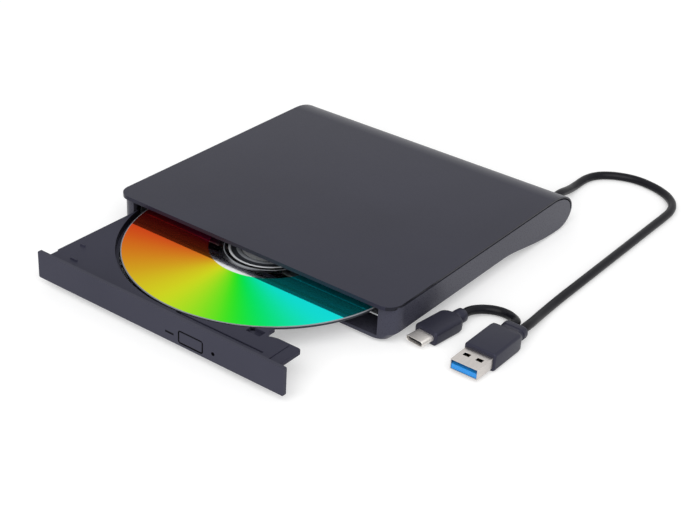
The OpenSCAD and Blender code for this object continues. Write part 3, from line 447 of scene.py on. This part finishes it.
cover = dressed("top_cover", "cover", edge=0.25, painted_shade=cover_painted_shade)
cover.data.materials.append(cover_abs)
cover.data.materials.append(shade_black_abs)
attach(cover, "case")


# Tray: one ABS moulding with a sunk disc seat, a cut-away right side and a thin wing behind the bezel.
# It runs on two steel rails, and the mechanism hangs in its window.
# Painted shade: the tray's darker tone offsets the light that falls on its top
tray_abs = moulded_abs("moulded_abs_tray", "#2b2b37", "#2f2f3c", grain=0.4, rough=0.45)
disc_y, seat_r, seat_slack, seat_top = -27.75, 61.9, 0.6, 12.8


def seat_painted_shade(normal, middle):
    # Painted shade: the upright wall round the seat takes the near-black, for the shade in the gap beside
    # the disc
    away = math.hypot(middle.x, middle.y - disc_y)
    return abs(normal.z) < 0.5 and abs(away - seat_r) < seat_slack and middle.z < seat_top


tray = dressed("tray", "disc_tray", edge=0.2, segments=2, painted_shade=seat_painted_shade)
tray.data.materials.append(tray_abs)
tray.data.materials.append(shade_black_abs)
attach(tray, "tray")


# Bezel: a long ABS bar clipped to the tray's front, with a slot for the light, the eject button in its
# own opening and the emergency pinhole.
# Painted light: the bezel's lighter tone is set for its upright front
bezel_abs = moulded_abs("moulded_abs_bezel", "#363641", "#3a3a45", grain=0.4, rough=0.4)
rim_x, rim_low, rim_high, bezel_front, openings_x = 61.8, 3.9, 14.3, -95.3, 40


def bezel_share(middle):
    # The outer rim of the front face is well rounded, every other edge only just broken
    rim = abs(middle.x) > rim_x or not rim_low < middle.z < rim_high
    return 1.0 if rim and middle.y < bezel_front else 0.2


def opening_painted_shade(normal, middle):
    # Painted shade: the walls of the openings take the near-black, for the shade inside the gaps
    return abs(normal.y) < 0.5 and abs(middle.x) < openings_x and rim_low < middle.z < rim_high


bezel = dressed("front_bezel", "bezel", edge=0.55, segments=4, share=bezel_share, painted_shade=opening_painted_shade)
bezel.data.materials.append(bezel_abs)
bezel.data.materials.append(shade_black_abs)
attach(bezel, "tray")
button = dressed("eject_button", "button", edge=0.25, painted_shade=opening_painted_shade)
# Painted shade: the button's rounded edges take the near-black too, a dark ring of shade round it
button.modifiers["rounded_edges"].material = 1
button.data.materials.append(bezel_abs)
button.data.materials.append(shade_black_abs)
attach(button, "eject_button")
painted(moulded_abs("smoked_acrylic", "#0d0d10", "#141418", grain=1.2, rough=0.2), "led_lens")


# Mechanism: pickup, motors and oiled rods on a blackened steel deck that floats on rubber dampers under
# the disc.
painted(screw_steel, "mechanism_deck")
painted(steel("oiled_rod_steel", "#5c5e61", "#6f7174", rough=0.3), "guide_rods", "lead_screw")
painted(cut_rubber("soft_damper_rubber", "#2a2a2d"), "deck_dampers", "turntable")
painted(steel("zinc_die_casting", "#7d7f83", "#95979b", rough=0.45), "pickup_sled", "sled_motor")
painted(steel("drawn_motor_can", "#8a8c90", "#a2a4a8", rough=0.35), "spindle_motor")
painted(steel("lacquered_copper_wire", "#5d4524", "#7d6034", rough=0.4), "latch_solenoid")
painted(slick_acetal, "hub_claws")

# Moulded glass: clear and very smooth, with a coating that shifts between blue and violet
glass_lens, glass_tree, glass_shader, glass_place = finish("moulded_optical_glass")
glass_coat = add(glass_tree, "ShaderNodeTexNoise", {"Vector": glass_place, "Scale": 1 / (1.5 * mm)})
glass_tint = add(glass_tree, "ShaderNodeValToRGB", {"Fac": glass_coat.outputs["Fac"]})
glass_tint.color_ramp.elements[0].color = srgb("#b9c6ee")
glass_tint.color_ramp.elements[1].color = srgb("#dcd6f2")
glass_tree.links.new(glass_tint.outputs["Color"], glass_shader.inputs["Base Color"])
glass_shader.inputs["Transmission Weight"].default_value = 0.9
glass_shader.inputs["Roughness"].default_value = 0.03
painted(glass_lens, "objective_lens")


# Disc: a pressed polycarbonate disc with its recorded side up. The data area has a metal layer under
# fine tracks that split white light into colours; here these colours are a painted reflection. Inside it
# lie a mirror band, a tinted band and the rings of the clamping area, clear at the hole.
def turned(name, profile, middle, axis, across, steps, sharp=None):
    # A closed turned form: each point of the profile has its radius, its place along the axis and the
    # finish from there on; edges over the sharp angle stay crisp
    form = bmesh.new()
    rings = []
    for radius, along, part in profile:
        ring = []
        for k in range(steps):
            angle = math.tau * k / steps
            spoke = across[0] * math.cos(angle) + across[1] * math.sin(angle)
            ring.append(form.verts.new((middle + axis * along + spoke * radius) * mm))
        rings.append(ring)
    for (radius, along, part), here, there in zip(profile, rings, rings[1:] + rings[:1]):
        for k in range(steps):
            after = (k + 1) % steps
            face = form.faces.new((here[k], there[k], there[after], here[after]))
            face.material_index = part
            face.smooth = True
    bmesh.ops.recalc_face_normals(form, faces=form.faces)
    for side in form.edges:
        side.smooth = sharp is None or side.calc_face_angle(0) < math.radians(sharp)
    mesh = bpy.data.meshes.new(name)
    form.to_mesh(mesh)
    form.free()
    piece = bpy.data.objects.new(name, mesh)
    scene.collection.objects.link(piece)
    return piece


to_right, to_rear, upward = Vector((1, 0, 0)), Vector((0, 1, 0)), Vector((0, 0, 1))
disc_middle = Vector((0, disc_y, 0))
disc_low, disc_high = 10.8, 12.0
clear, tracks, mirror, inked, silver_and_highlight, pale_and_highlight, tinted = range(7)
# Painted highlight: the raised rings from radius 16.7 to 15.9 and from 18.6 to 18.4 are drawn in the silver
# lacquer and the pale grey, light tones that paint thin bright rings of highlight
disc_profile = [
    (7.5, disc_low + 0.1, clear), (7.6, disc_low, clear), (20.4, disc_low, silver_and_highlight), (24.6, disc_low, silver_and_highlight),
    (59.2, disc_low, inked), (59.8, disc_low, inked), (60, disc_low + 0.2, inked),
    (60, disc_high - 0.2, pale_and_highlight), (59.8, disc_high, pale_and_highlight), (59.5, disc_high, tracks),
    (24.8, disc_high, mirror), (20.6, disc_high, tinted),
    (18.7, disc_high, pale_and_highlight), (18.6, disc_high + 0.06, pale_and_highlight), (18.4, disc_high + 0.06, pale_and_highlight),
    (18.3, disc_high, tinted), (16.7, disc_high, silver_and_highlight), (16.5, disc_high + 0.12, silver_and_highlight),
    (16.2, disc_high + 0.16, silver_and_highlight), (15.9, disc_high + 0.12, silver_and_highlight), (15.7, disc_high, inked),
    (13.5, disc_high, pale_and_highlight), (13.2, disc_high + 0.08, pale_and_highlight), (11.8, disc_high + 0.08, inked),
    (11.5, disc_high, silver_and_highlight), (8.8, disc_high, clear), (7.7, disc_high, clear),
    (7.5, disc_high - 0.2, clear)]
disc = turned("disc_pressing", disc_profile, disc_middle, upward, (to_right, to_rear), steps=160)

# Clear polycarbonate: glassy, with a faint haze where it flowed in the mould
clear_ring, clear_tree, clear_shader, clear_place = finish("clear_polycarbonate")
flow = add(clear_tree, "ShaderNodeTexNoise", {"Vector": clear_place, "Scale": 1 / (6 * mm)})
clear_haze = add(clear_tree, "ShaderNodeMapRange", {"Value": flow.outputs["Fac"],
                                                    "To Min": 0.02, "To Max": 0.1})
clear_tree.links.new(clear_haze.outputs[0], clear_shader.inputs["Roughness"])
clear_shader.inputs["Base Color"].default_value = srgb("#e6e8ea")
clear_shader.inputs["Transmission Weight"].default_value = 0.85
clear_shader.inputs["IOR"].default_value = 1.58

# Metal under fine tracks: a mirror with faint rings where the recording starts and stops. Its fan of colours
# is a painted reflection of the split light, painted into the base colour and fixed to the disc; the colour
# lines meet a little in front of the hub.
rainbow_tracks, data_tree, data_shader, data_place = finish("aluminised_tracks_painted_rainbow")
centred = add(data_tree, "ShaderNodeMapping", {"Vector": data_place, "Location": -disc_middle * mm})
fan_off = Vector((-4, -15, 0))
fan_middle = disc_middle + fan_off
fan_centred = add(data_tree, "ShaderNodeMapping", {"Vector": data_place, "Location": -fan_middle * mm})
around = add(data_tree, "ShaderNodeTexGradient", {"Vector": fan_centred.outputs[0]}, gradient_type="RADIAL")
painted_rainbow = add(data_tree, "ShaderNodeValToRGB", {"Fac": around.outputs["Fac"]})
rainbow_stops = [(-178, "#d43a2e"), (-155, "#da682e"), (-125, "#d9a52e"), (-98, "#d9dc2e"), (-82, "#c6e22e"),
             (-60, "#4ce82c"), (-46, "#16e92c"), (-31, "#20e48c"), (-16, "#22e2dc"), (6, "#22dce6"),
             (40, "#1a96ee"), (80, "#4a54e0"), (120, "#a040d8"), (172, "#d4342e")]
painted_rainbow.color_ramp.interpolation = "B_SPLINE"
while len(painted_rainbow.color_ramp.elements) < len(rainbow_stops):
    painted_rainbow.color_ramp.elements.new(0.5)
for stop, (turn, colour) in zip(painted_rainbow.color_ramp.elements, rainbow_stops):
    stop.position = turn / 360 + 0.5
    stop.color = srgb(colour)
data_tree.links.new(painted_rainbow.outputs["Color"], data_shader.inputs["Base Color"])
grooves = add(data_tree, "ShaderNodeVectorMath", {0: centred.outputs[0]}, operation="LENGTH")
zones = add(data_tree, "ShaderNodeTexNoise", {"W": grooves.outputs["Value"], "Scale": 1 / (2.5 * mm)},
            noise_dimensions="1D")
sheen = add(data_tree, "ShaderNodeMapRange", {"Value": zones.outputs["Fac"], "To Min": 0.04, "To Max": 0.08})
data_tree.links.new(sheen.outputs[0], data_shader.inputs["Roughness"])
data_shader.inputs["Metallic"].default_value = 0.92
data_shader.inputs["Specular IOR Level"].default_value = 0.1
data_shader.inputs["Specular Tint"].default_value = srgb("#909090")

mirror_band = steel("aluminised_mirror_band", "#dcdde0", "#f2f2f4", rough=0.12)
hub_band = steel("tinted_hub_band", "#8c8e92", "#9a9ca0", rough=0.22)
rim_dark = moulded_abs("inked_polycarbonate_rim", "#292b2f", "#33353a", grain=0.8, rough=0.3)
rim_light = moulded_abs("polycarbonate_rim", "#7c7f84", "#8a8d92", grain=0.8, rough=0.2)
lacquer_and_highlight = moulded_abs("silver_lacquer_and_painted_highlight", "#b4b6b9", "#c0c2c5", grain=0.4, rough=0.3)
for material in (clear_ring, rainbow_tracks, mirror_band, rim_dark, lacquer_and_highlight, rim_light, hub_band):
    disc.data.materials.append(material)
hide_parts("disc")
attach(disc, "spindle")


# Strain relief: a tapered PVC sleeve moulded round the lead where it leaves the case. Grooves round it
# leave ribs, so it bends in a soft curve.
relief_profile = [(2.8, 92.35, 0), (2.8, 95.6, 0), (2.75, 96, 0), (2.7, 97.2, 0), (2.35, 97.4, 0),
                  (2.32, 98.2, 0), (2.65, 98.4, 0), (2.58, 99.6, 0), (2.25, 99.8, 0), (2.22, 100.6, 0),
                  (2.5, 100.8, 0), (2.42, 102, 0), (2.12, 102.2, 0), (2.1, 103, 0), (2.3, 103.2, 0),
                  (2.2, 104.2, 0), (1.9, outlet_y, 0), (1.9, 92.35, 0)]
relief_middle = Vector((outlet_x, 0, outlet_z))
relief = turned("strain_relief", relief_profile, relief_middle, to_rear, (to_right, upward), steps=40,
                sharp=35)
relief.data.materials.append(cord_jacket)
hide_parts("cord_relief")
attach(relief, "case")


# Plugs: soft PVC overmoulds on nickel-plated steel shells. The A plug's tongue is blue in front and painted
# black behind, painted shade deep in the shell, with gilt contacts, and the C plug hangs on the tail.
def lofted(name, sections, place, turn=0):
    # A moulding through round-cornered sections, each with its y, half width, lowest z, highest z and radius
    form = bmesh.new()
    corner_steps, crease = 9, math.radians(40)
    turning = Matrix.Rotation(math.radians(turn), 3, "Z")
    rings = []
    for y, half, low, high, corner in sections:
        ring = []
        for quarter, (right, top) in enumerate(((1, 1), (-1, 1), (-1, 0), (1, 0))):
            middle = Vector((right * (half - corner), y, high - corner if top else low + corner))
            for step in range(corner_steps):
                angle = (quarter + step / (corner_steps - 1)) * math.pi / 2
                ring.append(middle + Vector((corner * math.cos(angle), 0, corner * math.sin(angle))))
        rings.append([form.verts.new((Vector(place) + turning @ point) * mm) for point in ring])
    for here, there in zip(rings, rings[1:]):
        for k in range(len(here)):
            after = (k + 1) % len(here)
            form.faces.new((here[k], there[k], there[after], here[after]))
    form.faces.new(rings[0])
    form.faces.new(rings[-1])
    bmesh.ops.recalc_face_normals(form, faces=form.faces)
    for face in form.faces:
        face.smooth = True
    for side in form.edges:
        side.smooth = side.calc_face_angle(0) < crease
    mesh = bpy.data.meshes.new(name)
    form.to_mesh(mesh)
    form.free()
    piece = bpy.data.objects.new(name, mesh)
    scene.collection.objects.link(piece)
    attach(piece, "case")
    return piece


plug_pvc = moulded_abs("moulded_pvc_overmould", "#272731", "#2c2c37", grain=0.5, rough=0.38, gloss=0.24)
nickel = steel("nickel_plated_steel", "#c2bdb9", "#ccc7c3", rough=0.3, brushed=0.03)
satin_nickel = steel("satin_nickel_plate", "#dad6d2", "#e4e0dc", rough=0.5, brushed=0.03)
gilt = steel("gilt_contacts", "#b98f3c", "#dcb45c", rough=0.25)
a_place, c_place, c_turn = (102.2, -39, 0), (76.8, -34.4, 3.1), -7
a_grip = lofted("a_plug_grip", [
    (10.7, 6.3, 0.6, 7.2, 0.9), (10.8, 6.6, 0.3, 7.5, 1), (11.0, 6.8, 0.1, 7.7, 1.1),
    (11.4, 6.9, 0, 7.8, 1.2), (28.4, 6.9, 0, 7.8, 1.2), (29.8, 6.75, 0.1, 7.7, 1.4),
    (30.6, 6.35, 0.45, 7.25, 1.8), (31, 5.6, 1, 6.5, 2.3), (31.4, 5.2, 1.2, 6.2, 2.4),
    (34.4, 5.1, 1.2, 6.1, 2.4), (34.6, 5.4, 1.05, 6.35, 2.5), (36.6, 5.45, 1, 6.4, 2.5),
    (37.2, 5.3, 1.15, 6.25, 2.4), (37.5, 4.9, 1.5, 5.9, 2.1)], a_place)
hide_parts("usb_a_body")
c_grip = lofted("c_plug_grip", [
    (6.6, 5, -2.6, 2.6, 1.3), (6.7, 5.25, -2.85, 2.85, 1.4), (6.95, 5.42, -3.02, 3.02, 1.5),
    (7.4, 5.5, -3.1, 3.1, 1.6), (20.8, 5.5, -3.1, 3.1, 1.6), (22.2, 5.3, -3, 3, 1.9),
    (23.1, 4.7, -2.9, 2.9, 2.3), (23.6, 3.5, -2.9, 2.9, 2.7), (24, 3, -2.8, 2.8, 2.6),
    (25.6, 2.9, -2.7, 2.7, 2.5), (25.8, 3, -2.85, 2.85, 2.7), (28.4, 2.9, -2.8, 2.8, 2.6),
    (28.9, 2.6, -2.5, 2.5, 2.4), (29, 2.2, -2.1, 2.1, 2)], c_place, c_turn)
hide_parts("usb_c_body")
for grip in (a_grip, c_grip):
    grip.data.materials.append(plug_pvc)
a_shell = dressed("usb_a_shell", "a_plug_shell", edge=0.12, segments=2)
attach(a_shell, "case")
c_shell = lofted("c_plug_shell", [
    (6.6, 4.15, -1.25, 1.25, 1.24), (0.2, 4.15, -1.25, 1.25, 1.24), (0.05, 4.1, -1.2, 1.2, 1.19),
    (0, 4, -1.1, 1.1, 1.09), (0.05, 3.9, -1, 1, 0.99), (0.2, 3.85, -0.95, 0.95, 0.94),
    (6.2, 3.85, -0.95, 0.95, 0.94)], c_place, c_turn)
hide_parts("usb_c_shell")
for shell, plating in ((a_shell, nickel), (c_shell, satin_nickel)):
    shell.data.materials.append(plating)
# PBT: satin, blue as far as a set depth, with faint flow marks, and painted black behind it: painted shade
# inside the shell
shade_start_y = -34.8
shaded_tongue_pbt, tongue_tree, tongue_shader, tongue_place = finish("blue_pbt_with_painted_shade")
tongue_depth = add(tongue_tree, "ShaderNodeSeparateXYZ", {"Vector": tongue_place}).outputs["Y"]
shade_step = add(tongue_tree, "ShaderNodeMath", {0: tongue_depth, 1: shade_start_y * mm}, operation="GREATER_THAN")
tongue_flow = add(tongue_tree, "ShaderNodeTexNoise", {"Vector": tongue_place, "Scale": 1 / (0.8 * mm)})
tongue_blue = add(tongue_tree, "ShaderNodeValToRGB", {"Fac": tongue_flow.outputs["Fac"]})
tongue_blue.color_ramp.elements[0].color = srgb("#107cca")
tongue_blue.color_ramp.elements[1].color = srgb("#2690dc")
tint_and_shade = add(tongue_tree, "ShaderNodeMix", {0: shade_step.outputs[0], 6: tongue_blue.outputs["Color"],
                                            7: srgb("#101013")}, data_type="RGBA")
tongue_tree.links.new(tint_and_shade.outputs[2], tongue_shader.inputs["Base Color"])
tongue_shader.inputs["Roughness"].default_value = 0.35
painted(shaded_tongue_pbt, "usb_a_tongue")
painted(gilt, "usb_a_contacts")
painted(socket_nylon, "usb_c_tongue")
